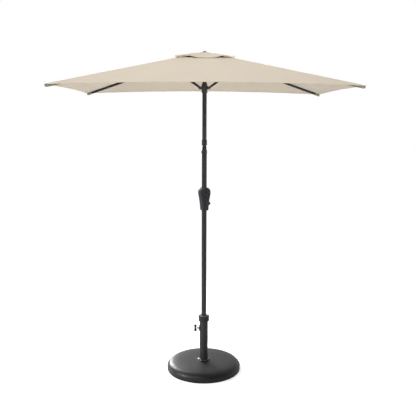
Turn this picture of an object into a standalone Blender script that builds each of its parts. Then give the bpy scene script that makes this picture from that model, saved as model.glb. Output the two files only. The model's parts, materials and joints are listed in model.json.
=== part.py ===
"""Patio umbrella with a weighted round base: crank lift, tilt joint, four-rib rectangular canopy.

Metres, +Z up, origin at the middle of the base on the ground. +X is the canopy's long side and
-Y is the front, where the crank is.
"""

import math

import bmesh
import bpy
from mathutils import Matrix, Vector

GAP = 0.0003  # clearance between neighbouring pieces
FINE, MID, ROUND = 48, 32, 24  # sides of large, middling and small round pieces
SHARP = math.radians(35)  # edges steeper than this stay crisp

# Base
DISC_R = 0.2875
TUBE_R, TUBE_WALL, TUBE_Z = 0.0325, 0.0020, (0.0118, 0.4000)
COLLAR_R, COLLAR_Z = 0.0425, (0.394, 0.434)
CLAMP_Z = 0.333

# Mast
POLE_R, POLE_WALL, POLE_Z = 0.0190, 0.0015, (0.0460, 1.7000)
UPPER_R, UPPER_WALL, UPPER_Z = 0.0165, 0.0015, (1.7775, 2.3900)
TILT_Z = 1.745
TILT_PIN_R = 0.004
CORD_R = 0.001

# Crank
CRANK_Z = 1.405
CRANK_AZIMUTH = math.radians(-68)
SHAFT_R = 0.005
ARM_W, ARM_LENGTH = (0.064, 0.071), 0.070
KNOB_W = 0.090

# Canopy, measured on the top face of the cloth
HALF_X, HALF_Y = 1.000, 0.705
CORNER_Z = 2.170
RIB_SLOPE = math.radians(12.5)
CLOTH = 0.0015
HEM_IN_X, HEM_IN_Y = 0.016, 0.035  # how far the hem's middle pulls in
HEM_UP_X, HEM_UP_Y = 0.004, 0.020  # how far it stands above the corners
VENT_HOLE = 0.185  # share of the way from the top to the hem
FLAP = (0.213, 0.1500, 2.3920)  # the vent flap's corner
FLAP_TOP = 2.4430
FLAP_DIP, FLAP_IN = 0.0035, 0.0030
FLAP_WAVE, FLAP_CREST = 0.0110, 1.45  # how far its hem lifts towards a corner, and how near to it
FLAP_EYE = 0.045

# Ribs, struts, hub and runner
RIB_H, RIB_W, RIB_WALL = 0.018, 0.012, 0.0012
RIB_DROP = CLOTH + 0.0010 + RIB_H / 2  # cloth top to rib centreline, square to the rib
HUB_R, RUNNER_R = 0.045, 0.040
REACH = math.hypot(HALF_X, HALF_Y)
RIB_AZIMUTH = math.atan2(HALF_Y, HALF_X)
PEAK_Z = CORNER_Z + REACH * math.tan(RIB_SLOPE)
HUB_Z = PEAK_Z - RIB_DROP / math.cos(RIB_SLOPE) - HUB_R * math.tan(RIB_SLOPE)
RIB_END = (REACH - HUB_R) / math.cos(RIB_SLOPE) - 0.020
BRACKET_A, BRACKET_B = 0.2725, 0.017  # strut pivot along and below the rib
RUNNER_Z = 2.185
PIN_R, EYE_R = 0.0020, 0.00215
STRUT_W, STRUT_SLOT = 0.008, 0.0090
HUB_SLOT = 0.0130
CORNERS = {"fr": (1, -1), "br": (1, 1), "bl": (-1, 1), "fl": (-1, -1)}

for old in list(bpy.data.objects):
    bpy.data.objects.remove(old, do_unlink=True)

parts = bpy.data.collections.new("patio_umbrella")
cutters = bpy.data.collections.new("cutters")
for group in (parts, cutters):
    bpy.context.scene.collection.children.link(group)


def material(name, colour, roughness, metallic=0.0):
    m = bpy.data.materials.new(name)
    m.use_nodes = True
    shader = m.node_tree.nodes["Principled BSDF"]
    shader.inputs["Base Color"].default_value = (*colour, 1)
    shader.inputs["Roughness"].default_value = roughness
    shader.inputs["Metallic"].default_value = metallic
    return m


CLOTH_BEIGE = material("canopy_cloth", (0.72, 0.65, 0.54), 0.85)
COAT = material("powder_coat", (0.035, 0.036, 0.042), 0.45, 0.3)
RESIN = material("base_resin", (0.045, 0.045, 0.045), 0.5)
PLASTIC = material("black_plastic", (0.02, 0.02, 0.022), 0.5)
GREY = material("grey_plastic", (0.22, 0.22, 0.22), 0.5)
STEEL = material("bright_steel", (0.6, 0.6, 0.6), 0.25, 1.0)
RUBBER = material("rubber", (0.03, 0.03, 0.03), 0.8)
CONCRETE = material("concrete", (0.35, 0.34, 0.32), 0.9)
CORD = material("cord_fibre", (0.08, 0.08, 0.08), 0.8)
NYLON = material("nylon", (0.05, 0.05, 0.05), 0.5)


def pivot(name, matrix, parent=None):
    """An empty on a joint's axis, which the pieces that move with the joint hang from."""
    o = bpy.data.objects.new(name, None)
    o.empty_display_size = 0.05
    parts.objects.link(o)
    o.parent = parent
    o.matrix_basis = matrix
    return o


def add(name, bm, mat=None, parent=None, at=(0, 0, 0), turn=(0, 0, 0)):
    """A new object from a bmesh; with no material it is a cutter."""
    mesh = bpy.data.meshes.new(name)
    bm.to_mesh(mesh)
    bm.free()
    mesh.shade_smooth()
    mesh.set_sharp_from_angle(angle=SHARP)
    o = bpy.data.objects.new(name, mesh)
    (parts if mat else cutters).objects.link(o)
    if mat:
        mesh.materials.append(mat)
    else:
        o.hide_render = True
        o.display_type = "WIRE"
    o.parent = parent
    o.location = at
    o.rotation_euler = turn
    return o


def lathe(name, profile, mat=None, steps=ROUND, loop=False, **place):
    """A profile of (radius, height), from top to bottom on the outer side, turned about Z."""
    bm = bmesh.new()
    points = [bm.verts.new((r, 0, z)) for r, z in profile]
    for a, b in zip(points, points[1:] + points[:1] * loop):
        bm.edges.new((a, b))
    o = add(name, bm, mat, **place)
    screw = o.modifiers.new("turn", "SCREW")
    screw.steps = screw.render_steps = steps
    screw.use_merge_vertices = True
    screw.merge_threshold = 0.00005
    return o


def ring(name, r_in, r_out, low, high, mat, steps=ROUND, soft=0.0, **place):
    """A tube or washer, its outer edges eased by soft."""
    s = soft or 0.0
    outer = [(r_out - s, high), (r_out, high - s)] if s else [(r_out, high)]
    outer += [(r_out, low + s), (r_out - s, low)] if s else [(r_out, low)]
    return lathe(name, outer + [(r_in, low), (r_in, high)], mat, steps, True, **place)


def loft(sections, closed=False):
    """Skins rings of points in order: capped at both ends, or joined round when closed."""
    bm = bmesh.new()
    rows = [[bm.verts.new(p) for p in section] for section in sections]
    pairs = list(zip(rows, rows[1:])) + ([(rows[-1], rows[0])] if closed else [])
    for a, b in pairs:
        for i in range(len(a)):
            j = (i + 1) % len(a)
            bm.faces.new((a[i], a[j], b[j], b[i]))
    if not closed:
        bm.faces.new(rows[0])
        bm.faces.new(rows[-1])
    bmesh.ops.recalc_face_normals(bm, faces=bm.faces[:])
    return bm


def rods(spans, radius, sides=12):
    """Separate round bars, one for each pair of end points."""
    bm = bmesh.new()
    for a, b in spans:
        a, b = Vector(a), Vector(b)
        turn = Vector((0, 0, 1)).rotation_difference(b - a).to_matrix().to_4x4()
        bmesh.ops.create_cone(
            bm, cap_ends=True, segments=sides, radius1=radius, radius2=radius,
            depth=(b - a).length, matrix=Matrix.Translation((a + b) / 2) @ turn,
        )
    return bm


def boxes(*spans):
    """Separate boxes, one for each (low corner, high corner)."""
    bm = bmesh.new()
    for low, high in spans:
        low, high = Vector(low), Vector(high)
        size = Matrix.Diagonal((*(high - low), 1))
        bmesh.ops.create_cube(
            bm, size=1, matrix=Matrix.Translation((low + high) / 2) @ size
        )
    return bm


def change(target, operation, *tools):
    for tool in tools:
        m = target.modifiers.new(tool.name, "BOOLEAN")
        m.operation = operation
        m.solver = "EXACT"
        m.object = tool
    return target


def cut(target, *tools):
    return change(target, "DIFFERENCE", *tools)


def join(target, *tools):
    return change(target, "UNION", *tools)


def wire(name, points, radius, mat, parent=None, at=(0, 0, 0), bevel=2):
    """A round wire or cord: a poly curve with a bevel and filled caps."""
    curve = bpy.data.curves.new(name, "CURVE")
    curve.dimensions = "3D"
    curve.bevel_depth = radius
    curve.bevel_resolution = bevel
    curve.use_fill_caps = True
    curve.materials.append(mat)
    line = curve.splines.new("POLY")
    line.points.add(len(points) - 1)
    for point, p in zip(line.points, points):
        point.co = (*p, 1)
    o = bpy.data.objects.new(name, curve)
    parts.objects.link(o)
    o.parent = parent
    o.location = at
    return o


def bar(low, high, width, height, sides=16):
    """A bar of oval section along X."""
    bm = bmesh.new()
    place = Matrix.Translation(((low + high) / 2, 0, 0)) @ Matrix.Rotation(math.pi / 2, 4, "Y")
    bmesh.ops.create_cone(
        bm, cap_ends=True, segments=sides, radius1=0.5, radius2=0.5, depth=high - low,
        matrix=place @ Matrix.Diagonal((height, width, 1, 1)),
    )
    return bm


# ---------------------------------------------------------------- base
SHELL = [
    (0.0450, 0.0735), (0.1200, 0.0727), (0.1900, 0.0705), (0.2350, 0.0672), (0.2560, 0.0628),
    (0.2690, 0.0560), (0.2765, 0.0460), (0.2795, 0.0400), (0.2850, 0.0397), (0.2870, 0.0370),
    (0.2875, 0.0330), (0.2870, 0.0040),
]
SHELL_INSIDE = [
    (0.2840, 0.0040), (0.2840, 0.0355), (0.2760, 0.0355), (0.2550, 0.0590), (0.1900, 0.0670),
    (TUBE_R + 0.0004, 0.0700),
]
lathe("base_shell", [(TUBE_R + 0.0004, 0.0737), *SHELL, *SHELL_INSIDE], RESIN, FINE, True)
lathe(
    "base_weight",
    [(TUBE_R + 0.0004, 0.0696), (0.1880, 0.0665), (0.2540, 0.0584), (0.2745, 0.0350), (0.2800, 0.0330),
     (0.2800, 0.0120), (TUBE_R + 0.0004, 0.0120)],
    CONCRETE, MID, True,
)
lathe(
    "base_plate",
    [(0.0301, 0.0300), (0.0301, 0.0115), (0.0550, 0.0115), (0.0550, 0.0070), (0.0044, 0.0070),
     (0.0044, 0.0300)], STEEL, ROUND, True,
)
ring("base_foot_ring", 0.2350, 0.2650, 0.0, 0.0117, RUBBER, FINE)
lathe(
    "base_ring",
    [(0.0345, 0.0830), (0.0415, 0.0835), (0.0442, 0.0820), (0.0455, 0.0790), (0.0455, 0.0741),
     (0.0331, 0.0741), (0.0331, 0.0815)],
    RESIN, MID, True,
)
tube = ring("base_tube", TUBE_R - TUBE_WALL, TUBE_R, *TUBE_Z, COAT, MID)
lathe("tube_bolt", [(0, 0.0330), (0.0040, 0.0330), (0.0040, 0.0067), (0.0085, 0.0067),
                    (0.0085, 0.0020), (0, 0.0020)], STEEL, ROUND)
lathe(
    "base_collar",
    [(0.0355, COLLAR_Z[1]), (COLLAR_R - 0.0013, COLLAR_Z[1] - 0.0004), (COLLAR_R, COLLAR_Z[1] - 0.002),
     (COLLAR_R, 0.4235), (COLLAR_R - 0.0020, 0.4220), (COLLAR_R - 0.0020, 0.4060),
     (COLLAR_R - 0.0004, 0.4045),
     (COLLAR_R - 0.0004, 0.3965), (COLLAR_R - 0.0018, COLLAR_Z[0]), (TUBE_R + 0.0004, COLLAR_Z[0]),
     (TUBE_R + 0.0004, 0.4310)],
    PLASTIC, MID, True,
)
boss = lathe("clamp_boss", [(0.0215, 0.0375), (0.0225, 0.0360), (0.0225, 0.0120),
                            (0.0044, 0.0120), (0.0044, 0.0375)], COAT, ROUND, True,
             at=(0, 0, CLAMP_Z), turn=(0, -math.pi / 2, 0))
cut(boss, add("tube_clearance", rods([((0, 0, 0.2), (0, 0, 0.45))], TUBE_R + GAP, MID)))
cut(tube, add("clamp_hole", rods([((-0.04, 0, CLAMP_Z), (-0.02, 0, CLAMP_Z))], 0.0044)))

# Clamp screw: the washer slides out as the wing head is unscrewed
clamp = pivot("clamp_axis", Matrix.Translation((0, 0, CLAMP_Z)) @ Matrix.Rotation(-math.pi / 2, 4, "Y"))
ring("clamp_washer", 0.0044, 0.0100, 0.0380, 0.0400, STEEL, ROUND, parent=clamp)
lathe("clamp_screw", [(0, 0.0540), (0.0075, 0.0540), (0.0085, 0.0530), (0.0085, 0.0415),
                      (0.0075, 0.0405), (0.0040, 0.0405), (0.0040, 0.0307), (0, 0.0307)],
      STEEL, ROUND, parent=clamp)
LOBE = [(-0.0290, 0.30), (-0.0270, 0.72), (-0.0215, 0.98), (-0.0140, 0.90), (-0.0060, 0.76),
        (0.0060, 0.76), (0.0140, 0.90), (0.0215, 0.98), (0.0270, 0.72), (0.0290, 0.30)]
add("clamp_wing", loft([
    [(x, 0.0080 * s * math.cos(k * math.tau / 16), 0.0655 + 0.0110 * s * math.sin(k * math.tau / 16))
     for k in range(16)] for x, s in LOBE
]), PLASTIC, clamp)

# ---------------------------------------------------------------- reducer sleeve
lathe(
    "reducer_sleeve",
    [(0.0315, 0.4365), (0.0325, 0.4355), (0.0325, 0.4003), (0.0301, 0.4003), (0.0301, 0.3000),
     (0.0194, 0.3000), (0.0194, 0.4355), (0.0204, 0.4365)], GREY, MID, True,
)

# ---------------------------------------------------------------- lower mast
lathe("pole_end_plug", [(0, 0.0600), (0.0171, 0.0600), (0.0171, 0.0457), (POLE_R, 0.0457),
                        (POLE_R, 0.0370), (0.0175, 0.0355), (0, 0.0355)], PLASTIC, ROUND)
pole = ring("lower_pole", POLE_R - POLE_WALL, POLE_R, *POLE_Z, COAT, ROUND)

side = Vector((-math.sin(CRANK_AZIMUTH), math.cos(CRANK_AZIMUTH), 0))
out = Vector((math.cos(CRANK_AZIMUTH), math.sin(CRANK_AZIMUTH), 0))
crank_frame = Matrix((
    (side.x, 0, out.x, 0), (side.y, 0, out.y, 0), (0, 1, 0, CRANK_Z), (0, 0, 0, 1)
))  # X across, Y up, Z outwards along the shaft
crank = pivot("crank_axis", crank_frame)
cut(pole, add("shaft_hole", rods([((0, 0, -0.03), (0, 0, 0.03))], SHAFT_R + 0.0004), parent=crank))

OUTLINE = [(0.0, 0.0430), (0.0160, 0.0415), (0.0290, 0.0355), (0.0385, 0.0240), (0.0430, 0.0100),
           (0.0420, -0.0060), (0.0378, -0.0260), (0.0332, -0.0520), (0.0295, -0.0800),
           (0.0267, -0.1050), (0.0250, -0.1230), (0.0232, -0.1340), (0.0, -0.1365)]


def outline(inset, w):
    """The housing's pear outline, pulled in by inset, at w along the shaft."""
    half = [(x * (1 - inset / 0.043), -0.05 + (y + 0.05) * (1 - inset / 0.0925)) for x, y in OUTLINE]
    both = half + [(-x, y) for x, y in half[-2:0:-1]]
    return [(x, y, w) for x, y in both]


def half_housing(name, sign, depth):
    """One moulded half: a cup, hollow inside, open towards the other half."""
    return add(name, loft([
        outline(0.0100, sign * (depth - 0.0030)), outline(0.0045, sign * (depth - 0.0070)),
        outline(0.0028, sign * (depth - 0.0110)), outline(0.0028, sign * 0.0002),
        outline(0.0, sign * 0.0002), outline(0.0, sign * (depth - 0.0110)),
        outline(0.0018, sign * (depth - 0.0045)), outline(0.0085, sign * depth),
    ]), PLASTIC, crank)


pole_clearance = add("pole_clearance", rods([((0, -0.2, 0), (0, 0.1, 0))], POLE_R + GAP, ROUND),
                     parent=crank)
front = half_housing("crank_housing_front", 1, 0.0330)
cut(front, pole_clearance,
    add("front_shaft_hole", rods([((0, 0, 0.02), (0, 0, 0.05))], SHAFT_R + GAP), parent=crank))
cut(half_housing("crank_housing_back", -1, 0.0280), pole_clearance)
ring("crank_bearing", SHAFT_R + GAP, 0.0235, 0.0333, 0.0430, PLASTIC, ROUND, 0.0020, parent=crank)
for place, (x, y) in {"upper": (0.0, 0.0250), "lower": (0.0, -0.1150)}.items():
    lathe(f"housing_screw_{place}", [(0, -0.0283), (0.0040, -0.0283), (0.0040, -0.0295),
                                     (0.0030, -0.0308), (0, -0.0312)], STEEL, 16, parent=crank, at=(x, y, 0))

# Shaft, drum and arm turn together
add("crank_shaft", rods([((0, 0, -0.0215), (0, 0, ARM_W[1] + 0.0015))], SHAFT_R, ROUND), COAT, crank)
lathe("rope_drum", [(0.0103, 0.0117), (0.0103, 0.0105), (0.0082, 0.0105), (0.0082, -0.0105),
                    (0.0103, -0.0105), (0.0103, -0.0117), (SHAFT_R + GAP, -0.0117),
                    (SHAFT_R + GAP, 0.0117)], NYLON, ROUND, True, parent=crank)
HUB_END, EYE_END = 0.0120, 0.0085


arm = add("crank_arm", rods([((0, 0, ARM_W[0]), (0, 0, ARM_W[1]))], HUB_END, ROUND), COAT, crank)
join(arm,
     add("arm_eye", rods([((0, -ARM_LENGTH, ARM_W[0]), (0, -ARM_LENGTH, ARM_W[1]))], EYE_END, ROUND),
         parent=crank),
     add("arm_bar", boxes(((-0.0070, -ARM_LENGTH, ARM_W[0] + 0.0008), (0.0070, 0, ARM_W[1] - 0.0008))),
         parent=crank))
cut(arm, add("arm_bore", rods([((0, 0, 0.05), (0, 0, 0.09))], SHAFT_R + GAP, ROUND), parent=crank))
join(arm, add("knob_pin", rods([((0, -ARM_LENGTH, ARM_W[1] - 0.002),
                                  (0, -ARM_LENGTH, KNOB_W + 0.008))], 0.0035, 12), parent=crank))
ball = [(0.0125 * math.sin(t), 0.0125 * math.cos(t)) for t in
        [math.radians(a) for a in range(18, 163, 18)]]
lathe("crank_knob", ball + [(0.0037, -0.0114), (0.0037, 0.0114)], PLASTIC, 16, True, parent=crank,
      at=(0, -ARM_LENGTH, KNOB_W))

# Tilt joint: the fork is on the lower pole, the tongue on the upper one
tilt = pivot("tilt_axis", Matrix.Translation((0, 0, TILT_Z)))
fork = lathe("tilt_fork", [(0.0200, -0.0190), (0.0205, -0.0200), (0.0205, -0.0447), (0.0172, -0.0447),
                           (0.0172, -0.0850), (0.0035, -0.0850), (0.0035, -0.0190)],
             PLASTIC, ROUND, True, parent=tilt)
CHEEK_R, CHEEK_Y = 0.0165, (0.0075, 0.0125)
for sign in (1, -1):
    low, high = sorted(sign * v for v in CHEEK_Y)
    join(fork,
         add(f"cheek_{sign}", rods([((0, low, 0), (0, high, 0))], CHEEK_R, ROUND), parent=tilt),
         add(f"cheek_foot_{sign}", boxes(((-CHEEK_R + 0.0004, low + 0.0001, -0.0230),
                                          (CHEEK_R - 0.0004, high - 0.0001, 0))), parent=tilt))
cut(fork,
    add("tilt_pin_hole", rods([((0, -0.02, 0), (0, 0.02, 0))], TILT_PIN_R + GAP), parent=tilt),
    add("button_hole", rods([((-0.03, 0, -0.0330), (-0.0062, 0, -0.0330))], 0.0062, ROUND), parent=tilt))
BUTTON_Z = TILT_Z - 0.0330
lathe("tilt_pin", [(0, 0.0145), (0.0060, 0.0145), (0.0065, 0.0140), (0.0065, 0.0128),
                   (TILT_PIN_R, 0.0128), (TILT_PIN_R, -0.0128), (0.0065, -0.0128),
                   (0.0065, -0.0140), (0.0060, -0.0145), (0, -0.0145)], COAT, ROUND,
      parent=tilt, turn=(math.pi / 2, 0, 0))
lathe("tilt_button", [(0, 0.0240), (0.0045, 0.0235), (0.0057, 0.0220), (0.0057, 0.0110), (0, 0.0110)],
      PLASTIC, 24, at=(0, 0, BUTTON_Z), turn=(0, -math.pi / 2, 0))
TURNS, PER_TURN = 2.5, 12
wire("tilt_spring", [
    (-0.0070 - 0.0032 * k / (TURNS * PER_TURN), 0.0038 * math.cos(k * math.tau / PER_TURN),
     0.0038 * math.sin(k * math.tau / PER_TURN)) for k in range(int(TURNS * PER_TURN) + 1)
], 0.0004, STEEL, at=(0, 0, BUTTON_Z), bevel=1)

# ---------------------------------------------------------------- upper mast
tongue = lathe("tilt_tongue", [(0.0191, 0.0580), (0.0197, 0.0570), (0.0197, 0.0175), (0.0035, 0.0175),
                               (0.0035, 0.0320), (0.0168, 0.0320), (0.0168, 0.0580)],
               PLASTIC, ROUND, True, parent=tilt)
join(tongue,
     add("tongue_eye", rods([((0, -0.0070, 0), (0, 0.0070, 0))], 0.0135, ROUND), parent=tilt),
     add("tongue_plate", boxes(((-0.0131, -0.0069, 0), (0.0131, 0.0069, 0.0290))), parent=tilt))
cut(tongue,
    add("tongue_pin_hole", rods([((0, -0.02, 0), (0, 0.02, 0))], TILT_PIN_R + 0.0001, ROUND), parent=tilt),
    add("tongue_cord_hole", rods([((0.0085, 0, -0.02), (0.0085, 0, 0.045))], 0.0025), parent=tilt))
ring("upper_pole", UPPER_R - UPPER_WALL, UPPER_R, *UPPER_Z, COAT, 32, at=(0, 0, 0))

# Hub: a socket over the pole's end and a slotted flange that carries the ribs
HUB_TOP = HUB_Z + 0.0105
FLAP_SLOPE = (FLAP_TOP - FLAP[2]) / math.hypot(*FLAP[:2])
STEEP = (FLAP_TOP - FLAP[2] + FLAP_DIP) / (FLAP[1] - FLAP_IN)
BOSS_TOP = FLAP_TOP - CLOTH - 2 * GAP - 0.0125 * STEEP
hub = lathe(
    "top_hub",
    [(0, BOSS_TOP), (0.0110, BOSS_TOP), (0.0120, BOSS_TOP - 0.001), (0.0120, HUB_TOP),
     (0.0290, HUB_TOP), (0.0545, HUB_TOP - 0.0095), (0.0560, HUB_TOP - 0.0115), (0.0560, HUB_Z - 0.0090),
     (0.0340, HUB_Z - 0.0130), (0.0225, HUB_Z - 0.0300), (0.0225, 2.3600), (0.0168, 2.3600),
     (0.0168, UPPER_Z[1] + GAP), (0, UPPER_Z[1] + GAP)],
    PLASTIC, ROUND,
)
for name, (sx, sy) in CORNERS.items():
    angle = math.atan2(sy * HALF_Y, sx * HALF_X)
    cut(hub, add(f"hub_slot_{name}", boxes(((0.0330, -HUB_SLOT / 2, HUB_Z - 0.05),
                                            (0.0700, HUB_SLOT / 2, HUB_Z + 0.05))), turn=(0, 0, angle)))
    join(hub, add(f"hub_pin_{name}", rods([((HUB_R, -0.0090, HUB_Z), (HUB_R, 0.0090, HUB_Z))],
                                          PIN_R), turn=(0, 0, angle)))
PULLEY_Y, PULLEY_Z, PULLEY_R = 0.0100, UPPER_Z[1] + 0.0120, 0.0085
cut(hub,
    add("pulley_slot", boxes(((-0.0035, -0.0020, UPPER_Z[1] - 0.04), (0.0035, 0.0245, PULLEY_Z + 0.0120)))),
    add("cord_way", rods([((0, 0.0185, 2.34), (0, 0.0185, 2.41))], 0.0030)),
    add("axle_bore", rods([((-0.0080, PULLEY_Y, PULLEY_Z), (0.0080, PULLEY_Y, PULLEY_Z))], PIN_R)))
lathe("cord_pulley", [(0.0105, 0.0028), (0.0105, 0.0020), (0.0074, 0.0008), (0.0074, -0.0008),
                      (0.0105, -0.0020), (0.0105, -0.0028), (0.0016, -0.0028), (0.0016, 0.0028)],
      NYLON, ROUND, True, at=(0, PULLEY_Y, PULLEY_Z), turn=(0, math.pi / 2, 0))
add("pulley_axle", rods([((-0.0076, PULLEY_Y, PULLEY_Z), (0.0076, PULLEY_Y, PULLEY_Z))], 0.0015), STEEL)
FINIAL_Z = FLAP_TOP - FLAP_EYE * math.hypot(*FLAP[:2]) * FLAP_SLOPE + 0.0008
finial = lathe("finial", [(0, FINIAL_Z + 0.0080), (0.0060, FINIAL_Z + 0.0074), (0.0110, FINIAL_Z + 0.0052),
                          (0.0135, FINIAL_Z + 0.0022), (0.0135, FINIAL_Z), (0.0050, FINIAL_Z),
                          (0.0050, BOSS_TOP + GAP), (0, BOSS_TOP + GAP)], PLASTIC, ROUND)

# Lift cord: drum to tilt joint, tilt joint to pulley and over it, and the outside fall to the runner
drum_side = -0.0093 * side
wire("lift_cord_lower", [
    drum_side + Vector((0, 0, CRANK_Z)), drum_side + Vector((0, 0, CRANK_Z + 0.05)),
    (0, 0, 1.60), (0, 0, 1.655), (0, 0, TILT_Z - 0.0200),
], CORD_R, CORD)
over = [
    (0, PULLEY_Y - PULLEY_R * math.cos(t), PULLEY_Z + PULLEY_R * math.sin(t))
    for t in [k * math.pi / 10 for k in range(11)]
]
wire("lift_cord_upper", [(0.0, 0, TILT_Z + 0.030), (0, 0, 1.90), (0, 0.0015, 2.31), (0, 0.0015, 2.38), *over,
                         (0, PULLEY_Y + PULLEY_R, PULLEY_Z - 0.0050)], CORD_R, CORD)
FALL_TOP = PULLEY_Z - 0.0054

# ---------------------------------------------------------------- runner
rider = pivot("runner_axis", Matrix.Translation((0, 0, RUNNER_Z)))
runner = lathe("runner", [(0.0210, 0.0270), (0.0220, 0.0260), (0.0220, -0.0360), (0.0210, -0.0370),
                          (UPPER_R + 0.0004, -0.0370), (UPPER_R + 0.0004, 0.0270)],
               PLASTIC, ROUND, True, parent=rider)
join(runner, ring("runner_flange", 0.0180, 0.0460, -0.0090, 0.0090, None, ROUND, parent=rider))
for name, (sx, sy) in CORNERS.items():
    angle = math.atan2(sy * HALF_Y, sx * HALF_X)
    slot = boxes(((0.0290, -STRUT_SLOT / 2, -0.02), (0.06, STRUT_SLOT / 2, 0.02)))
    cut(runner, add(f"runner_slot_{name}", slot, parent=rider, turn=(0, 0, angle)))
    for sign in (1, -1):
        stud = rods([((RUNNER_R, sign * 0.0042, 0), (RUNNER_R, sign * 0.0075, 0))], PIN_R)
        join(runner, add(f"runner_stud_{name}_{sign}", stud, parent=rider, turn=(0, 0, angle)))
for k, middle in enumerate((0, math.pi / 2, math.pi, -math.pi / 2)):
    wide = 0.0125 if k % 2 == 0 else 0.0250
    cut(runner, add(f"runner_relief_{k}", boxes(((0.0260, -wide, -0.02), (0.06, wide, 0.02))),
                    parent=rider, turn=(0, 0, middle)))
wire("lift_cord_fall", [(0, PULLEY_Y + PULLEY_R, FALL_TOP), (0, PULLEY_Y + PULLEY_R, 2.30),
                        (0, PULLEY_Y + PULLEY_R, RUNNER_Z + 0.0273)], CORD_R, CORD)

# ---------------------------------------------------------------- ribs, struts and canopy
PEAK = Vector((0, 0, PEAK_Z))
ACROSS = 6  # cloth divisions from the middle of a side to the rib
ALONG = 6


def hem(sx, sy):
    """The hem from the middle of the short side round the corner to the middle of the long side."""
    short, long = [], []
    for k in range(ACROSS + 1):
        q = k / ACROSS
        bow = 1 - q * q
        short.append((HALF_X - HEM_IN_X * bow, max(q * HALF_Y, 0.0002), CORNER_Z + HEM_UP_X * bow))
        long.append((max(q * HALF_X, 0.0002), HALF_Y - HEM_IN_Y * bow, CORNER_Z + HEM_UP_Y * bow))
    return [Vector((sx * x, sy * y, z)) for x, y, z in short + long[-2::-1]]


def cloth(rows, thickness):
    """A closed sheet: rows of points on the top face, and the same rows lower by the thickness."""
    bm = bmesh.new()
    faces = [[[bm.verts.new(p - Vector((0, 0, d))) for p in row] for row in rows] for d in (0, thickness)]
    height, width = len(rows), len(rows[0])
    for face in faces:
        for i in range(height - 1):
            for j in range(width - 1):
                bm.faces.new((face[i][j], face[i][j + 1], face[i + 1][j + 1], face[i + 1][j]))
    rim = [(0, j) for j in range(width)] + [(i, width - 1) for i in range(1, height)]
    rim += [(height - 1, j) for j in range(width - 2, -1, -1)] + [(i, 0) for i in range(height - 2, 0, -1)]
    top, low = faces
    for (a, b), (c, d) in zip(rim, rim[1:] + rim[:1]):
        bm.faces.new((top[a][b], top[c][d], low[c][d], low[a][b]))
    bmesh.ops.recalc_face_normals(bm, faces=bm.faces[:])
    return bm


def strut_geometry():
    """The strut's pivot on the rib, and its end on the runner, in the rib's upright plane."""
    c, s = math.cos(RIB_SLOPE), math.sin(RIB_SLOPE)
    top = Vector((BRACKET_A * c - BRACKET_B * s, -BRACKET_A * s - BRACKET_B * c))
    low = Vector((RUNNER_R - HUB_R, RUNNER_Z - HUB_Z))
    return top, low


top_point, low_point = strut_geometry()
STRUT_LENGTH = (low_point - top_point).length
STRUT_SLOPE = math.atan2(top_point.y - low_point.y, top_point.x - low_point.x)

for name, (sx, sy) in CORNERS.items():
    angle = math.atan2(sy * HALF_Y, sx * HALF_X)
    centre = Vector((HUB_R * math.cos(angle), HUB_R * math.sin(angle), HUB_Z))
    frame = Matrix.Translation(centre) @ Matrix.Rotation(angle, 4, "Z")
    root = pivot(f"rib_axis_{name}", frame)
    rib_at = pivot(f"rib_line_{name}", Matrix.Rotation(RIB_SLOPE, 4, "Y"), root)
    rib = add(f"rib_{name}", bar(0.0150, RIB_END + 0.0070, RIB_W, RIB_H), COAT, rib_at)
    cut(rib, add(f"rib_bore_{name}", bar(0.0100, RIB_END, RIB_W - 2 * RIB_WALL, RIB_H - 2 * RIB_WALL),
                 parent=rib_at))
    hinge_end = add(f"rib_end_{name}", rods([((0, -0.0058, 0), (0, 0.0058, 0))], 0.0085, 16), NYLON, rib_at)
    join(hinge_end, add(f"end_neck_{name}", boxes(((0.0035, -0.0030, -0.0045), (0.0400, 0.0030, 0.0045))),
                        parent=rib_at))
    cut(hinge_end, add(f"end_eye_{name}", rods([((0, -0.01, 0), (0, 0.01, 0))], EYE_R, 12), parent=rib_at))
    saddle = add(f"strut_bracket_{name}", boxes((
        (BRACKET_A - 0.0090, -0.0078, -0.0235), (BRACKET_A + 0.0090, 0.0078, 0.0010))), NYLON, rib_at)
    cut(saddle,
        add(f"rib_way_{name}", bar(BRACKET_A - 0.02, BRACKET_A + 0.02, RIB_W + 0.0006, RIB_H + 0.0006),
            parent=rib_at),
        add(f"strut_way_{name}", boxes(((BRACKET_A - 0.02, -STRUT_SLOT / 2, -0.03),
                                        (BRACKET_A + 0.02, STRUT_SLOT / 2, -0.0050))), parent=rib_at))
    join(saddle, add(f"strut_rivet_{name}", rods([((BRACKET_A, -0.0092, -BRACKET_B),
                                                   (BRACKET_A, 0.0092, -BRACKET_B))], PIN_R), parent=rib_at))
    strut_axis = pivot(f"strut_axis_{name}", Matrix.Translation((top_point.x, 0, top_point.y)), root)
    strut_line = pivot(f"strut_line_{name}", Matrix.Rotation(math.pi - STRUT_SLOPE, 4, "Y"), strut_axis)
    strut = add(f"strut_{name}", rods([((x, -STRUT_W / 2, 0), (x, STRUT_W / 2, 0))
                                       for x in (0, STRUT_LENGTH)], 0.0062, 16), COAT, strut_line)
    join(strut, add(f"strut_bar_{name}", bar(0.0050, STRUT_LENGTH - 0.0050, 0.0078, 0.0150, 12),
                    parent=strut_line))
    cut(strut, add(f"strut_eyes_{name}", rods([((x, -0.01, 0), (x, 0.01, 0)) for x in (0, STRUT_LENGTH)],
                                              EYE_R, 12), parent=strut_line))

    edge = hem(sx, sy)
    local = frame.inverted()
    rows = [[local @ PEAK.lerp(h, VENT_HOLE + (1 - VENT_HOLE) * k / ALONG) for h in edge]
            for k in range(ALONG + 1)]
    add(f"canopy_{name}", cloth(rows, CLOTH), CLOTH_BEIGE, root)

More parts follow.
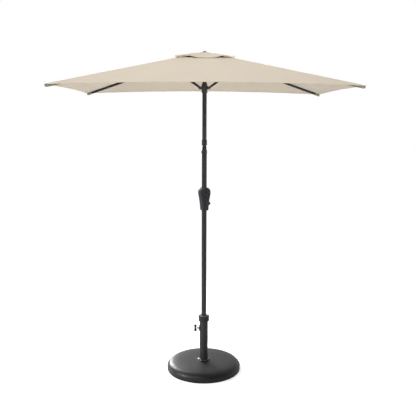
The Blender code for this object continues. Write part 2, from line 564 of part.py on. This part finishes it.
# Vent flap: one pyramid of cloth over the opening, clamped by the finial
flap_edge = []
for q in [k / 8 for k in range(-8, 8)]:
    bow = 1 - q * q
    height = FLAP[2] + FLAP_WAVE * math.sin(math.pi * abs(q) ** FLAP_CREST) ** 2 - FLAP_DIP * bow**2
    flap_edge.append((FLAP[0] - FLAP_IN * bow, q * FLAP[1], height))
for q in [k / 8 for k in range(-8, 8)]:
    bow = 1 - q * q
    height = FLAP[2] + FLAP_WAVE * math.sin(math.pi * abs(q) ** FLAP_CREST) ** 2 - FLAP_DIP * bow**2
    flap_edge.append((-q * FLAP[0], FLAP[1] - FLAP_IN * bow, height))
flap_edge += [(-x, -y, z) for x, y, z in flap_edge]
flap_peak = Vector((0, 0, FLAP_TOP))
shares = [1.0, 0.6, 0.25, FLAP_EYE]
down = Vector((0, 0, CLOTH))
top_rings = [[flap_peak.lerp(Vector(p), s) for p in flap_edge] for s in shares]
add("vent_flap", loft(top_rings + [[p - down for p in row] for row in top_rings[::-1]], closed=True),
    CLOTH_BEIGE)
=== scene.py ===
"""Looks of the patio umbrella: canopy cloth, materials, light and camera. The frame comes from the CAD."""

import json
import math

import bmesh
import bpy
from mathutils import Euler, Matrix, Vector


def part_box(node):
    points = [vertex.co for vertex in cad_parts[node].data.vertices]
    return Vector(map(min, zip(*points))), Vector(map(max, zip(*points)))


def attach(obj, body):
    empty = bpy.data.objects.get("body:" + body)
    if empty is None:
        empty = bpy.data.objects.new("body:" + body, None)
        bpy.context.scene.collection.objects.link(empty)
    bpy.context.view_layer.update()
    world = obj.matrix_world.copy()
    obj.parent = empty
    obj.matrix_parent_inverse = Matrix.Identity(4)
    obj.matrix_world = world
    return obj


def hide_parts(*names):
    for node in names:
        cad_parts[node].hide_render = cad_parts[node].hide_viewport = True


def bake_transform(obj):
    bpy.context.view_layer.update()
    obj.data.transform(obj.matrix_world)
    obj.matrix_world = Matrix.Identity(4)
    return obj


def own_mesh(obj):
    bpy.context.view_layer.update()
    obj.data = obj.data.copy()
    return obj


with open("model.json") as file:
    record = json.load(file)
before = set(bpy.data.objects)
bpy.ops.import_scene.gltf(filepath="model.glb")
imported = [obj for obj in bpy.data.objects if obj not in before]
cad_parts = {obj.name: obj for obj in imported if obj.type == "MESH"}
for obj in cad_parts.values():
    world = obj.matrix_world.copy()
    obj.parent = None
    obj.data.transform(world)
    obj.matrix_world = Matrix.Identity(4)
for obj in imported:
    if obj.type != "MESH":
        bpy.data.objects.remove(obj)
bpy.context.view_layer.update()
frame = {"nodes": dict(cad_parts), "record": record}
nodes = frame["nodes"]

# Canopy sizes in metres, the same as the CAD's
HALF_X, HALF_Y, CORNER_Z = 1.000, 0.705, 2.170
RIB_SLOPE = math.radians(12.5)
REACH = math.hypot(HALF_X, HALF_Y)
PEAK = Vector((0, 0, CORNER_Z + REACH * math.tan(RIB_SLOPE)))
HEM_IN = {"side": 0.016, "face": 0.035}  # how far the hem bows in at the middle of a side
HEM_UP = {"side": 0.004, "face": 0.020}  # how far it rises there
VENT_HOLE = 0.185  # share of each gore left open at the top
CORNERS = {"fr": (1, -1), "br": (1, 1), "bl": (-1, 1), "fl": (-1, -1)}

# The rib of the +X +Y quarter: out from the mast, across the rib, down along it and up from it
UP = Vector((0, 0, 1))
RIB_OUT = Vector((HALF_X, HALF_Y, 0)) / REACH
RIB_ACROSS = UP.cross(RIB_OUT)
RIB_ALONG = RIB_OUT * math.cos(RIB_SLOPE) - UP * math.sin(RIB_SLOPE)
RIB_UP = RIB_ALONG.cross(RIB_ACROSS)
TIP = Vector((HALF_X, HALF_Y, CORNER_Z))

# Vent flap: its half sizes, the height of its corners and top, and the curve of its hem
FLAP_X, FLAP_Y, FLAP_Z, FLAP_PEAK = 0.213, 0.1500, 2.3920, 2.4430
FLAP_DIP, FLAP_IN, FLAP_WAVE, FLAP_CREST = 0.0035, 0.0030, 0.0175, 1.60
FLAP_HOLE = 0.36  # share of the flap left out under the cap
CROWN = 0.42  # share of the flap that the cap at the top covers
# Puckers along the flap's ridges on the left and the right: place, height and width
FLAP_PUCKER = {
    -1: ((0.47, 0.0045, 0.08), (0.28, -0.0080, 0.08)),
    1: ((0.28, -0.0030, 0.08), (0.80, -0.0085, 0.34)),
}

# Cloth: thicknesses, widths of the sewn bands and how far they stand over the panel
CLOTH, HEM_THICK, FLAP_HEM_THICK, CAP_THICK, SEAM_THICK = 0.0011, 0.0026, 0.0024, 0.0012, 0.0010
HEM_WIDTH, BINDING_WIDTH, FLAP_HEM_WIDTH = 0.021, 0.020, 0.016
BAND_LIFT, CAP_LIFT = 0.0006, 0.0011
SAG, RIPPLE, TENSION = 0.0050, 0.0010, 0.0011  # depth of the sag, the ripples and the corner folds
# Rows and columns of points: canopy gore, flap gore, and the bands on them
ACROSS, ALONG, FLAP_STEPS, BAND_STEPS, FLAP_BAND_STEPS = 26, 30, 12, 4, 3

# A seam over a rib: half its width, its rows, and how steeply the gores fall from the rib on each side
SEAM_HALF, SEAM_STEPS, SEAM_FALL = 0.0075, 24, (0.156, 0.314)
SEAM_END = 0.999  # share of the rib that the seam covers

# A rib pocket's sections from its mouth to the tip: distance from the tip, half width and half height
POCKET_SECTIONS = (
    (0.066, 0.0074, 0.0100),
    (0.065, 0.0080, 0.0106),
    (0.045, 0.0082, 0.0108),
    (0.020, 0.0080, 0.0106),
    (0.010, 0.0074, 0.0098),
    (0.004, 0.0040, 0.0060),
)
POCKET_DROP, POCKET_TOP, POCKET_SIDES = 0.0115, 0.0100, 20

# The lift cord's outside run
CORD_RADIUS, STRAND_DEPTH, CORD_STEPS, CORD_SIDES = 0.0010, 0.00012, 60, 12


# ---------------------------------------------------------------- materials
def map_range(tree, low, high):
    """A Map Range node that turns 0 to 1 into low to high."""
    n = tree.nodes.new("ShaderNodeMapRange")
    n.inputs["To Min"].default_value = low
    n.inputs["To Max"].default_value = high
    return n


class Nodes:
    """A node material built up step by step."""

    def __init__(self, name):
        self.material = bpy.data.materials.new(name)
        self.material.use_nodes = True
        self.tree = self.material.node_tree
        self.shader = self.tree.nodes["Principled BSDF"]
        self.coords = self.tree.nodes.new("ShaderNodeTexCoord")

    def link(self, a, b):
        self.tree.links.new(a, b)

    def set(self, **values):
        for key, value in values.items():
            self.shader.inputs[key.replace("_", " ")].default_value = value

    def noise(self, scale, detail=3.0, source="Object", roughness=0.5):
        n = self.tree.nodes.new("ShaderNodeTexNoise")
        n.inputs["Scale"].default_value = scale
        n.inputs["Detail"].default_value = detail
        n.inputs["Roughness"].default_value = roughness
        self.link(self.coords.outputs[source], n.inputs["Vector"])
        return n.outputs["Fac"]

    def wave(self, scale, direction, source="UV", distortion=0.0):
        n = self.tree.nodes.new("ShaderNodeTexWave")
        n.wave_type = "BANDS"
        n.bands_direction = direction
        n.inputs["Scale"].default_value = scale
        n.inputs["Distortion"].default_value = distortion
        self.link(self.coords.outputs[source], n.inputs["Vector"])
        return n.outputs["Fac"]

    def math(self, operation, a, b=0.0):
        n = self.tree.nodes.new("ShaderNodeMath")
        n.operation = operation
        for socket, value in zip(n.inputs, (a, b)):
            if isinstance(value, float):
                socket.default_value = value
            else:
                self.link(value, socket)
        return n.outputs[0]

    def ramp(self, factor, stops):
        n = self.tree.nodes.new("ShaderNodeValToRGB")
        while len(n.color_ramp.elements) < len(stops):
            n.color_ramp.elements.new(0.5)
        for element, (at, colour) in zip(n.color_ramp.elements, stops):
            element.position = at
            element.color = (*colour, 1)
        self.link(factor, n.inputs["Fac"])
        return n.outputs["Color"]

    def mix(self, factor, a, b):
        n = self.tree.nodes.new("ShaderNodeMix")
        n.data_type = "RGBA"
        for socket, value in ((n.inputs[0], factor), (n.inputs[6], a), (n.inputs[7], b)):
            if isinstance(value, (float, tuple)):
                socket.default_value = (*value, 1) if isinstance(value, tuple) else value
            else:
                self.link(value, socket)
        return n.outputs[2]

    def range(self, factor, low, high):
        n = map_range(self.tree, low, high)
        self.link(factor, n.inputs["Value"])
        return n.outputs["Result"]

    def bump(self, height, distance, strength=1.0, after=None):
        n = self.tree.nodes.new("ShaderNodeBump")
        n.inputs["Distance"].default_value = distance
        n.inputs["Strength"].default_value = strength
        self.link(height, n.inputs["Height"])
        if after:
            self.link(after, n.inputs["Normal"])
        self.link(n.outputs["Normal"], self.shader.inputs["Normal"])
        return n.outputs["Normal"]

    def into(self, socket, value):
        self.link(value, self.shader.inputs[socket])


def linear(value):
    """One 8-bit sRGB value as linear light."""
    share = value / 255
    return share / 12.92 if share <= 0.04045 else ((share + 0.055) / 1.055) ** 2.4


def srgb(*values):
    return tuple(linear(v) for v in values)


def scaled(colour, factor):
    return tuple(min(1.0, c * factor) for c in colour)


THREADS = 230.0  # scale of the weave's bands
STITCH, STITCH_GAP, STITCH_HALF = 0.0045, 0.28, 0.0006  # a stitch's length, its gap's share, half the thread
STITCH_ROWS = (0.0035, 0.0175)  # distances of the two rows from the cloth's edge


def cloth(name, colour, stitched=False):
    """Woven polyester: threads, slight slubs and fading, and two rows of stitches beside the hem."""
    m = Nodes(name)
    m.set(Roughness=0.88, Specular_IOR_Level=0.25, Sheen_Weight=0.25, Sheen_Roughness=0.5)
    fade = m.noise(2.2, 4.0)
    base = m.ramp(fade, [(0.3, scaled(colour, 0.97)), (0.7, scaled(colour, 1.02))])
    slub = m.noise(90.0, 2.0)
    base = m.mix(m.range(slub, 0.0, 0.10), base, scaled(colour, 0.86))
    warp = m.wave(THREADS, "X", distortion=0.6)
    weft = m.wave(THREADS, "Y", distortion=0.6)
    weave = m.math("MULTIPLY", warp, weft)
    base = m.mix(m.range(weave, 0.09, 0.0), base, scaled(colour, 0.78))
    height = weave
    if stitched:
        split = m.tree.nodes.new("ShaderNodeSeparateXYZ")
        m.link(m.coords.outputs["UV"], split.inputs[0])
        along = m.math("FRACT", m.math("DIVIDE", split.outputs[0], STITCH))
        dash = m.math("GREATER_THAN", along, STITCH_GAP)
        rows = []
        for at in STITCH_ROWS:
            off = m.math("ABSOLUTE", m.math("SUBTRACT", split.outputs[1], at))
            rows.append(m.math("LESS_THAN", off, STITCH_HALF))
        rows = m.math("MAXIMUM", *rows)
        thread = m.math("MULTIPLY", dash, rows)
        base = m.mix(m.math("MULTIPLY", rows, 0.35), base, scaled(colour, 0.55))
        base = m.mix(m.math("MULTIPLY", thread, 0.7), base, scaled(colour, 1.06))
        height = m.math("ADD", m.math("MULTIPLY", weave, 0.35), m.math("MULTIPLY", thread, 1.0))
    m.into("Base Color", base)
    soft = m.bump(m.noise(9.0, 3.0), 0.0012, 0.5)
    m.bump(height, 0.00025, 0.6, after=soft)
    return m.material


def coat(name, colour, roughness=0.42, gloss=0.16):
    """Powder coat: fine orange peel, rubbed a little paler where it is handled."""
    m = Nodes(name)
    m.set(Specular_IOR_Level=gloss)
    patch = m.noise(6.0, 5.0)
    m.into("Base Color", m.ramp(patch, [(0.3, scaled(colour, 0.9)), (0.75, scaled(colour, 1.12))]))
    m.into("Roughness", m.range(m.noise(30.0, 4.0), roughness - 0.06, roughness + 0.10))
    m.bump(m.noise(900.0, 2.0), 0.00012, 0.5)
    return m.material


def plastic(name, colour, roughness=0.5, grain=1400.0, gloss=0.2):
    """Moulded plastic with a spark-eroded grain and faint flow marks."""
    m = Nodes(name)
    m.set(Specular_IOR_Level=gloss)
    flow = m.noise(11.0, 3.0)
    m.into("Base Color", m.ramp(flow, [(0.3, scaled(colour, 0.88)), (0.7, scaled(colour, 1.15))]))
    m.into("Roughness", m.range(m.noise(45.0, 3.0), roughness - 0.05, roughness + 0.08))
    m.bump(m.noise(grain, 2.0), 0.00015, 0.6)
    return m.material


def steel(name, colour=(0.62, 0.62, 0.63), roughness=0.28):
    """Zinc-plated steel with turning lines and dull patches."""
    m = Nodes(name)
    m.set(Metallic=1.0)
    m.into("Base Color", m.ramp(m.noise(60.0, 4.0), [(0.3, scaled(colour, 0.85)), (0.7, colour)]))
    m.into("Roughness", m.range(m.noise(120.0, 3.0), roughness - 0.06, roughness + 0.12))
    m.bump(m.wave(400.0, "Z", "Object"), 0.00005, 0.4)
    return m.material


def stone(name, colour):
    """Cast concrete with pores."""
    m = Nodes(name)
    m.set(Roughness=0.95)
    grit = m.noise(35.0, 8.0, roughness=0.7)
    m.into("Base Color", m.ramp(grit, [(0.3, scaled(colour, 0.7)), (0.7, colour)]))
    m.bump(m.noise(160.0, 6.0), 0.0006, 0.8)
    return m.material


def braid(name, colour):
    """Braided cord."""
    m = Nodes(name)
    m.set(Roughness=0.8)
    strands = m.wave(500.0, "DIAGONAL", "Object")
    m.into("Base Color", m.ramp(strands, [(0.2, scaled(colour, 0.6)), (0.8, scaled(colour, 1.3))]))
    m.bump(strands, 0.0003, 0.8)
    return m.material


BEIGE = srgb(219, 205, 185)
LOOKS = {
    "canopy_cloth": cloth("canopy_cloth_look", BEIGE),
    "powder_coat": coat("powder_coat_look", srgb(48, 49, 52)),
    "base_resin": plastic("base_resin_look", srgb(17, 17, 17), 0.42, 700.0, 0.30),
    "black_plastic": plastic("black_plastic_look", srgb(48, 48, 51)),
    "grey_plastic": plastic("grey_plastic_look", srgb(104, 104, 104), 0.45),
    "bright_steel": steel("bright_steel_look"),
    "rubber_foot": plastic("rubber_look", srgb(32, 32, 32), 0.8, 500.0),
    "concrete_fill": stone("concrete_look", srgb(150, 148, 144)),
    "cord_fibre": braid("cord_look", srgb(60, 60, 60)),
    "nylon_part": plastic("nylon_look", srgb(44, 44, 45), 0.42),
}
# CAD parts whose look differs from the rest of their slot; the upper pole's lighter coat is painted light,
# and the darker base tube coat and collar are painted shade
OWN_LOOKS = {
    "base_ring": plastic("gloss_trim_look", srgb(34, 34, 34), 0.16, 900.0, 0.9),
    # painted light: a lighter copy of the powder coat on the upper pole, standing in for light falling from
    # above
    "upper_pole": coat("upper_coat_painted_light_look", srgb(63, 63, 65)),
    # painted shade: darker copies of the powder coat and the black plastic on the base tube and the collar,
    # standing in for shade low down
    "base_tube": coat("tube_coat_painted_shade_look", srgb(44, 45, 48)),
    "base_collar": plastic("collar_painted_shade_look", srgb(37, 37, 39)),
    "runner": plastic("runner_look", srgb(72, 71, 68)),
}
HEM = cloth("hem_cloth_look", BEIGE, stitched=True)
# painted shade: the rib pockets are the canopy's beige cloth painted darker, as they look in shade
POCKET = cloth("pocket_painted_shade_look", srgb(158, 148, 131), stitched=True)

for part in frame["record"]["subparts"]:
    o = nodes[part["node"]]
    o.data.materials.clear()
    o.data.materials.append(OWN_LOOKS.get(part["node"], LOOKS[part["material_slot"]]))
    if o.data.attributes.get("custom_normal"):
        o.data.attributes.remove(o.data.attributes["custom_normal"])
    o.data.polygons.foreach_set("use_smooth", [True] * len(o.data.polygons))
    weld = o.modifiers.new("weld", "WELD")
    weld.merge_threshold = 0.00002
    edges = o.modifiers.new("edges", "EDGE_SPLIT")
    edges.split_angle = math.radians(32)


# ---------------------------------------------------------------- canopy
def mirrored(v, sx, sy):
    """A point of the +X +Y quarter, in the quarter with these signs."""
    return Vector((sx * v[0], sy * v[1], v[2]))


def steps(low, high, count):
    return [low + (high - low) * i / count for i in range(count + 1)]


def hem_point(gore, q, flap=False):
    """A point of the hem in the +X +Y quarter: q is 0 at the middle of a side and 1 at the corner."""
    bow = 1 - q * q
    half_x, half_y, z = (FLAP_X, FLAP_Y, FLAP_Z) if flap else (HALF_X, HALF_Y, CORNER_Z)
    pull = FLAP_IN if flap else HEM_IN[gore]
    if flap:
        z += FLAP_WAVE * math.sin(math.pi * q**FLAP_CREST) ** 2 - FLAP_DIP * bow**2
    else:
        z += HEM_UP[gore] * bow
    if gore == "side":
        return Vector((half_x - pull * bow, q * half_y, z))
    return Vector((q * half_x, half_y - pull * bow, z))


def gore_point(gore, q, t, flap=False, sx=1):
    """A point of the cloth in the +X +Y quarter: t is 0 at the top and 1 at the hem.

    The canopy sags a little between its edges. The flap's puckers differ on the two sides of the mast, sx.
    """
    top = Vector((0, 0, FLAP_PEAK)) if flap else PEAK
    p = top.lerp(hem_point(gore, q, flap), t)
    if flap:
        for at, height, wide in FLAP_PUCKER[sx]:
            p.z += q**1.5 * height * math.exp(-(((t - at) / wide) ** 2))
    else:
        loose = (1 - q * q) * t
        p.z -= SAG * math.sin(math.pi * min(t, 1.0)) * (1 - q * q)
        p.z += RIPPLE * loose * math.sin(9.0 * t + 2.0 * q) * (1 if gore == "face" else 0.7)
        # tension folds fan out from the corner
        near = max(0.0, 1 - abs(1 - q) * 3.2) * max(0.0, (t - 0.45) / 0.55)
        p.z -= TENSION * near * (1 - math.cos((1 - q) * 40.0)) / 2
    return p


def cloth_rows(corner, gore, qs, ts, flap=False, lift=0.0):
    """Rows of points of half a gore, from its top to its hem."""
    sx, sy = CORNERS[corner]
    return [[mirrored(gore_point(gore, q, t, flap, sx), sx, sy) + UP * lift for q in qs] for t in ts]


def link_mesh(bm, name, material):
    """The bmesh as a new object in the scene."""
    mesh = bpy.data.meshes.new(name)
    bm.to_mesh(mesh)
    bm.free()
    mesh.materials.append(material)
    return link_object(name, mesh)


def link_object(name, data):
    o = bpy.data.objects.new(name, data)
    bpy.context.scene.collection.objects.link(o)
    return o


def grid(name, rows, uv, material, thickness):
    """A sheet through rows of points, with a UV in metres, thickened downwards."""
    bm = bmesh.new()
    layer = bm.loops.layers.uv.new("UVMap")
    verts = [[bm.verts.new(p) for p in row] for row in rows]
    where = {v: uv(i, j) for i, row in enumerate(verts) for j, v in enumerate(row)}
    for a, b in zip(verts, verts[1:]):
        for j in range(len(a) - 1):
            face = bm.faces.new((a[j], a[j + 1], b[j + 1], b[j]))
            face.smooth = True
            for loop in face.loops:
                loop[layer].uv = where[loop.vert]
    bmesh.ops.recalc_face_normals(bm, faces=bm.faces[:])
    bm.faces.ensure_lookup_table()
    if sum(f.normal.z for f in bm.faces) < 0:
        bmesh.ops.reverse_faces(bm, faces=bm.faces[:])
    o = link_mesh(bm, name, material)
    solid = o.modifiers.new("thickness", "SOLIDIFY")
    solid.thickness = thickness
    solid.offset = -1.0
    crisp = o.modifiers.new("crisp_rim", "EDGE_SPLIT")
    crisp.split_angle = math.radians(50)
    return o


def folds(o, corner):
    """The piece gets a mesh of its own and rides on its rib."""
    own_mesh(o)
    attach(o, "rib_arm_" + corner)


def half_gore(corner, gore):
    """Half a gore of the canopy, with its hem and the binding of the vent's edge."""
    length = (hem_point(gore, 0) - PEAK).length
    width = HALF_Y if gore == "side" else HALF_X
    qs, ts = steps(0, 1, ACROSS), steps(VENT_HOLE, 1, ALONG)
    panel = grid(f"canopy_{corner}_{gore}", cloth_rows(corner, gore, qs, ts),
                 lambda i, j: (qs[j] * width, ts[i] * length), LOOKS["canopy_cloth"], CLOTH)
    folds(panel, corner)
    for what, edge, low, high in (("hem", 1, 1 - HEM_WIDTH / length, 1),
                                  ("binding", VENT_HOLE, VENT_HOLE, VENT_HOLE + BINDING_WIDTH / length)):
        at = steps(low, high, BAND_STEPS)
        band = grid(f"{what}_{corner}_{gore}", cloth_rows(corner, gore, qs, at, lift=BAND_LIFT),
                    lambda i, j, edge=edge, at=at: (qs[j] * width, abs(edge - at[i]) * length),
                    HEM, HEM_THICK)
        folds(band, corner)
    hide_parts("canopy_" + corner)


def flap_half(corner, gore):
    """Half a gore of the vent flap, with its hem."""
    length = (hem_point(gore, 0, True) - Vector((0, 0, FLAP_PEAK))).length
    width = FLAP_Y if gore == "side" else FLAP_X
    qs, ts = steps(0, 1, FLAP_STEPS), steps(FLAP_HOLE, 1, FLAP_STEPS)
    flap = grid(f"flap_{corner}_{gore}", cloth_rows(corner, gore, qs, ts, True),
                lambda i, j: (qs[j] * width, ts[i] * length), LOOKS["canopy_cloth"], CLOTH)
    folds(flap, corner)
    at = steps(1 - FLAP_HEM_WIDTH / length, 1, FLAP_BAND_STEPS)
    band = grid(f"flap_hem_{corner}_{gore}", cloth_rows(corner, gore, qs, at, True, BAND_LIFT),
                lambda i, j: (qs[j] * width, (1 - at[i]) * length), HEM, FLAP_HEM_THICK)
    folds(band, corner)
    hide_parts("vent_flap")


for corner in CORNERS:
    for gore in ("side", "face"):
        half_gore(corner, gore)
        flap_half(corner, gore)


def seam(corner):
    """A flat-felled seam over a rib: a strip bent over the ridge between two gores."""
    start, end = PEAK.lerp(TIP, VENT_HOLE), PEAK.lerp(TIP, SEAM_END)
    rows = []
    for i in range(SEAM_STEPS + 1):
        p = start.lerp(end, i / SEAM_STEPS)
        row = []
        for k in range(-3, 4):
            off = SEAM_HALF * k / 3
            drop = SEAM_FALL[1] * off if off > 0 else -SEAM_FALL[0] * off
            row.append(mirrored(p + RIB_ACROSS * off + UP * (BAND_LIFT - drop), *CORNERS[corner]))
        rows.append(row)
    length = (end - start).length
    o = grid(f"seam_{corner}", rows, lambda i, j: (length * i / SEAM_STEPS, abs(j - 3) / 3 * SEAM_HALF),
             HEM, SEAM_THICK)
    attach(o, "rib_arm_" + corner)


for corner in CORNERS:
    seam(corner)

# Cap sewn over the middle of the vent flap, under the finial: once round its edge, side by side
CAP_QS = [k / 8 for k in range(-8, 8)]
CAP_SIDES = (("side", 1), ("face", 1), ("side", -1), ("face", -1))
CAP_TURN = [(gore, sign, q) for gore, sign in CAP_SIDES for q in CAP_QS]
CAP_SHARES = (0.11, 0.3, 0.45, 0.6, 0.7, 0.8, 0.9, 1.0)  # of the way from the finial to the cap's edge


def cap_point(gore, sign, q, t):
    """A point of the cap, going round: q runs from one corner of a side to the next."""
    across = sign if q >= 0 else -sign
    sx, sy = (sign, across) if gore == "side" else (-across, sign)
    return mirrored(gore_point(gore, abs(q), t, True, sx) + UP * CAP_LIFT, sx, sy)


rows = [[cap_point(*at, CROWN * share) for at in CAP_TURN + CAP_TURN[:1]] for share in CAP_SHARES]
crown = grid("vent_crown", rows, lambda i, j: (j * 0.01, (len(CAP_SHARES) - 1 - i) * 0.014), HEM, CAP_THICK)
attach(crown, "upper_mast")
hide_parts("vent_flap")


# ---------------------------------------------------------------- pockets, cord and spring
def circle(sides):
    return [k * math.tau / sides for k in range(sides)]


def tube(name, sections, material):
    """A closed skin through rings of points."""
    bm = bmesh.new()
    layer = bm.loops.layers.uv.new("UVMap")
    rows = [[bm.verts.new(p) for p in ring] for ring in sections]
    where = {v: (0.004 * j, 0.004 * i) for i, row in enumerate(rows) for j, v in enumerate(row)}
    for a, b in zip(rows, rows[1:]):
        for j in range(len(a)):
            k = (j + 1) % len(a)
            bm.faces.new((a[j], a[k], b[k], b[j]))
    bm.faces.new(rows[0])
    bm.faces.new(rows[-1])
    for face in bm.faces:
        face.smooth = True
        for loop in face.loops:
            loop[layer].uv = where[loop.vert]
    bmesh.ops.recalc_face_normals(bm, faces=bm.faces[:])
    return link_mesh(bm, name, material)


def pocket(corner):
    """The cloth pocket that holds a rib's tip."""
    middle = TIP - RIB_UP * POCKET_DROP
    sections = []
    for back, wide, tall in POCKET_SECTIONS:
        ring = []
        for a in circle(POCKET_SIDES):
            lift = min(tall * math.sin(a), POCKET_TOP)
            point = middle - RIB_ALONG * back + RIB_ACROSS * wide * math.cos(a) + RIB_UP * lift
            ring.append(mirrored(point, *CORNERS[corner]))
        sections.append(ring)
    o = tube(f"rib_pocket_{corner}", sections, POCKET)
    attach(o, "rib_arm_" + corner)


for corner in CORNERS:
    pocket(corner)

# The outside fall of the lift cord, from the hub to the runner, three strands twisted together
low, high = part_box("lift_cord_fall")
mid = (low + high) / 2
rings = []
for i in range(CORD_STEPS + 1):
    z = high.z + (low.z - high.z) * i / CORD_STEPS
    rings.append([Vector((mid.x, mid.y, z)) + (CORD_RADIUS + STRAND_DEPTH * math.cos(3 * a + i * 0.5))
                  * Vector((math.cos(a), math.sin(a), 0)) for a in circle(CORD_SIDES)])
fall = tube("cord_fall", rings, LOOKS["cord_fibre"])
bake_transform(fall)
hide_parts("lift_cord_fall")

# A copy of the tilt button's spring rides on the lower mast in place of the CAD part
mesh = nodes["tilt_spring"].data.copy()
mesh.name = "button_spring"
spring = link_object("button_spring", mesh)
low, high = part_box("tilt_spring")
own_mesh(spring)
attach(spring, "lower_mast")
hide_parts("tilt_spring")

# ---------------------------------------------------------------- stage, light and camera
FLOOR_GREY, FLOOR_GLOW = 0.83, 0.50  # what the floor reflects, and what the camera sees it give out besides
ROOM_BACK, ROOM_FRONT = 0.85, 0.25  # the room is brighter behind the object than in front

# Softboxes: place, target, side in metres, watts and the angle they spread over in degrees
LIGHTS = {
    "key": ((-2.2, -4.4, 4.6), (0.2, 0, 2.7), 2.5, 30, 60),
    "low_left": ((-4.5, 0.3, 0.9), (0.6, 0, 2.2), 1.4, 0.7, 30),
    "low_right": ((4.5, 0.3, 0.9), (-0.6, 0, 2.2), 1.4, 3.6, 30),
    "sheen": ((-2.5, 4.5, 2.1), (0.1, -0.2, -0.2), 2.2, 24, 30),
    "edge": ((-4.0, -1.8, 1.5), (0, 0, 0.05), 1.2, 11, 40),
}
CAMERA_PLACE, CAMERA_DEGREES = (-0.0466, -4.394, 1.970), (90 - 8.83, -0.25, -0.95)
LENS, SENSOR = 50.5, 36

look = Nodes("floor_look")
grey = (FLOOR_GREY,) * 3
look.set(Roughness=0.9, Emission_Color=(1, 1, 1, 1))
look.into("Base Color", look.ramp(look.noise(3.0, 2.0), [(0.0, grey), (1.0, scaled(grey, 1.01))]))
lit = look.tree.nodes.new("ShaderNodeLightPath")
look.into("Emission Strength", look.range(lit.outputs["Is Camera Ray"], 0.0, FLOOR_GLOW))
floor_mesh = bpy.data.meshes.new("floor")
floor_mesh.from_pydata([(-30, -30, 0), (30, -30, 0), (30, 30, 0), (-30, 30, 0)], [], [(0, 1, 2, 3)])
floor_mesh.materials.append(look.material)
link_object("floor", floor_mesh)

world = bpy.data.worlds.new("studio")
bpy.context.scene.world = world
world.use_nodes = True
sky = world.node_tree
background = sky.nodes["Background"]
where = sky.nodes.new("ShaderNodeTexCoord")
split = sky.nodes.new("ShaderNodeSeparateXYZ")
sky.links.new(where.outputs["Generated"], split.inputs[0])
room = map_range(sky, ROOM_FRONT, ROOM_BACK)
room.interpolation_type = "SMOOTHSTEP"
room.inputs["From Min"].default_value = -0.9
room.inputs["From Max"].default_value = 0.5
sky.links.new(split.outputs["Y"], room.inputs["Value"])
path = sky.nodes.new("ShaderNodeLightPath")
seen = sky.nodes.new("ShaderNodeMath")
seen.operation = "MAXIMUM"
sky.links.new(room.outputs["Result"], seen.inputs[0])
sky.links.new(path.outputs["Is Camera Ray"], seen.inputs[1])
sky.links.new(seen.outputs[0], background.inputs["Strength"])
background.inputs["Color"].default_value = (1, 1, 1, 1)
bpy.context.scene.view_settings.view_transform = "Standard"


def softbox(name, place, target, size, power, spread):
    """A square area light that the camera doesn't see."""
    light = bpy.data.lights.new(name, "AREA")
    light.shape = "SQUARE"
    light.size = size
    light.energy = power
    light.spread = math.radians(spread)
    o = link_object(name, light)
    o.location = place
    o.rotation_euler = (Vector(target) - Vector(place)).to_track_quat("-Z", "Y").to_euler()
    o.visible_camera = False


for name, settings in LIGHTS.items():
    softbox(name, *settings)

camera = link_object("camera", bpy.data.cameras.new("camera"))
camera.data.lens = LENS
camera.data.sensor_width = SENSOR
camera.location = CAMERA_PLACE
camera.rotation_euler = Euler([math.radians(angle) for angle in CAMERA_DEGREES])
bpy.context.scene.camera = camera
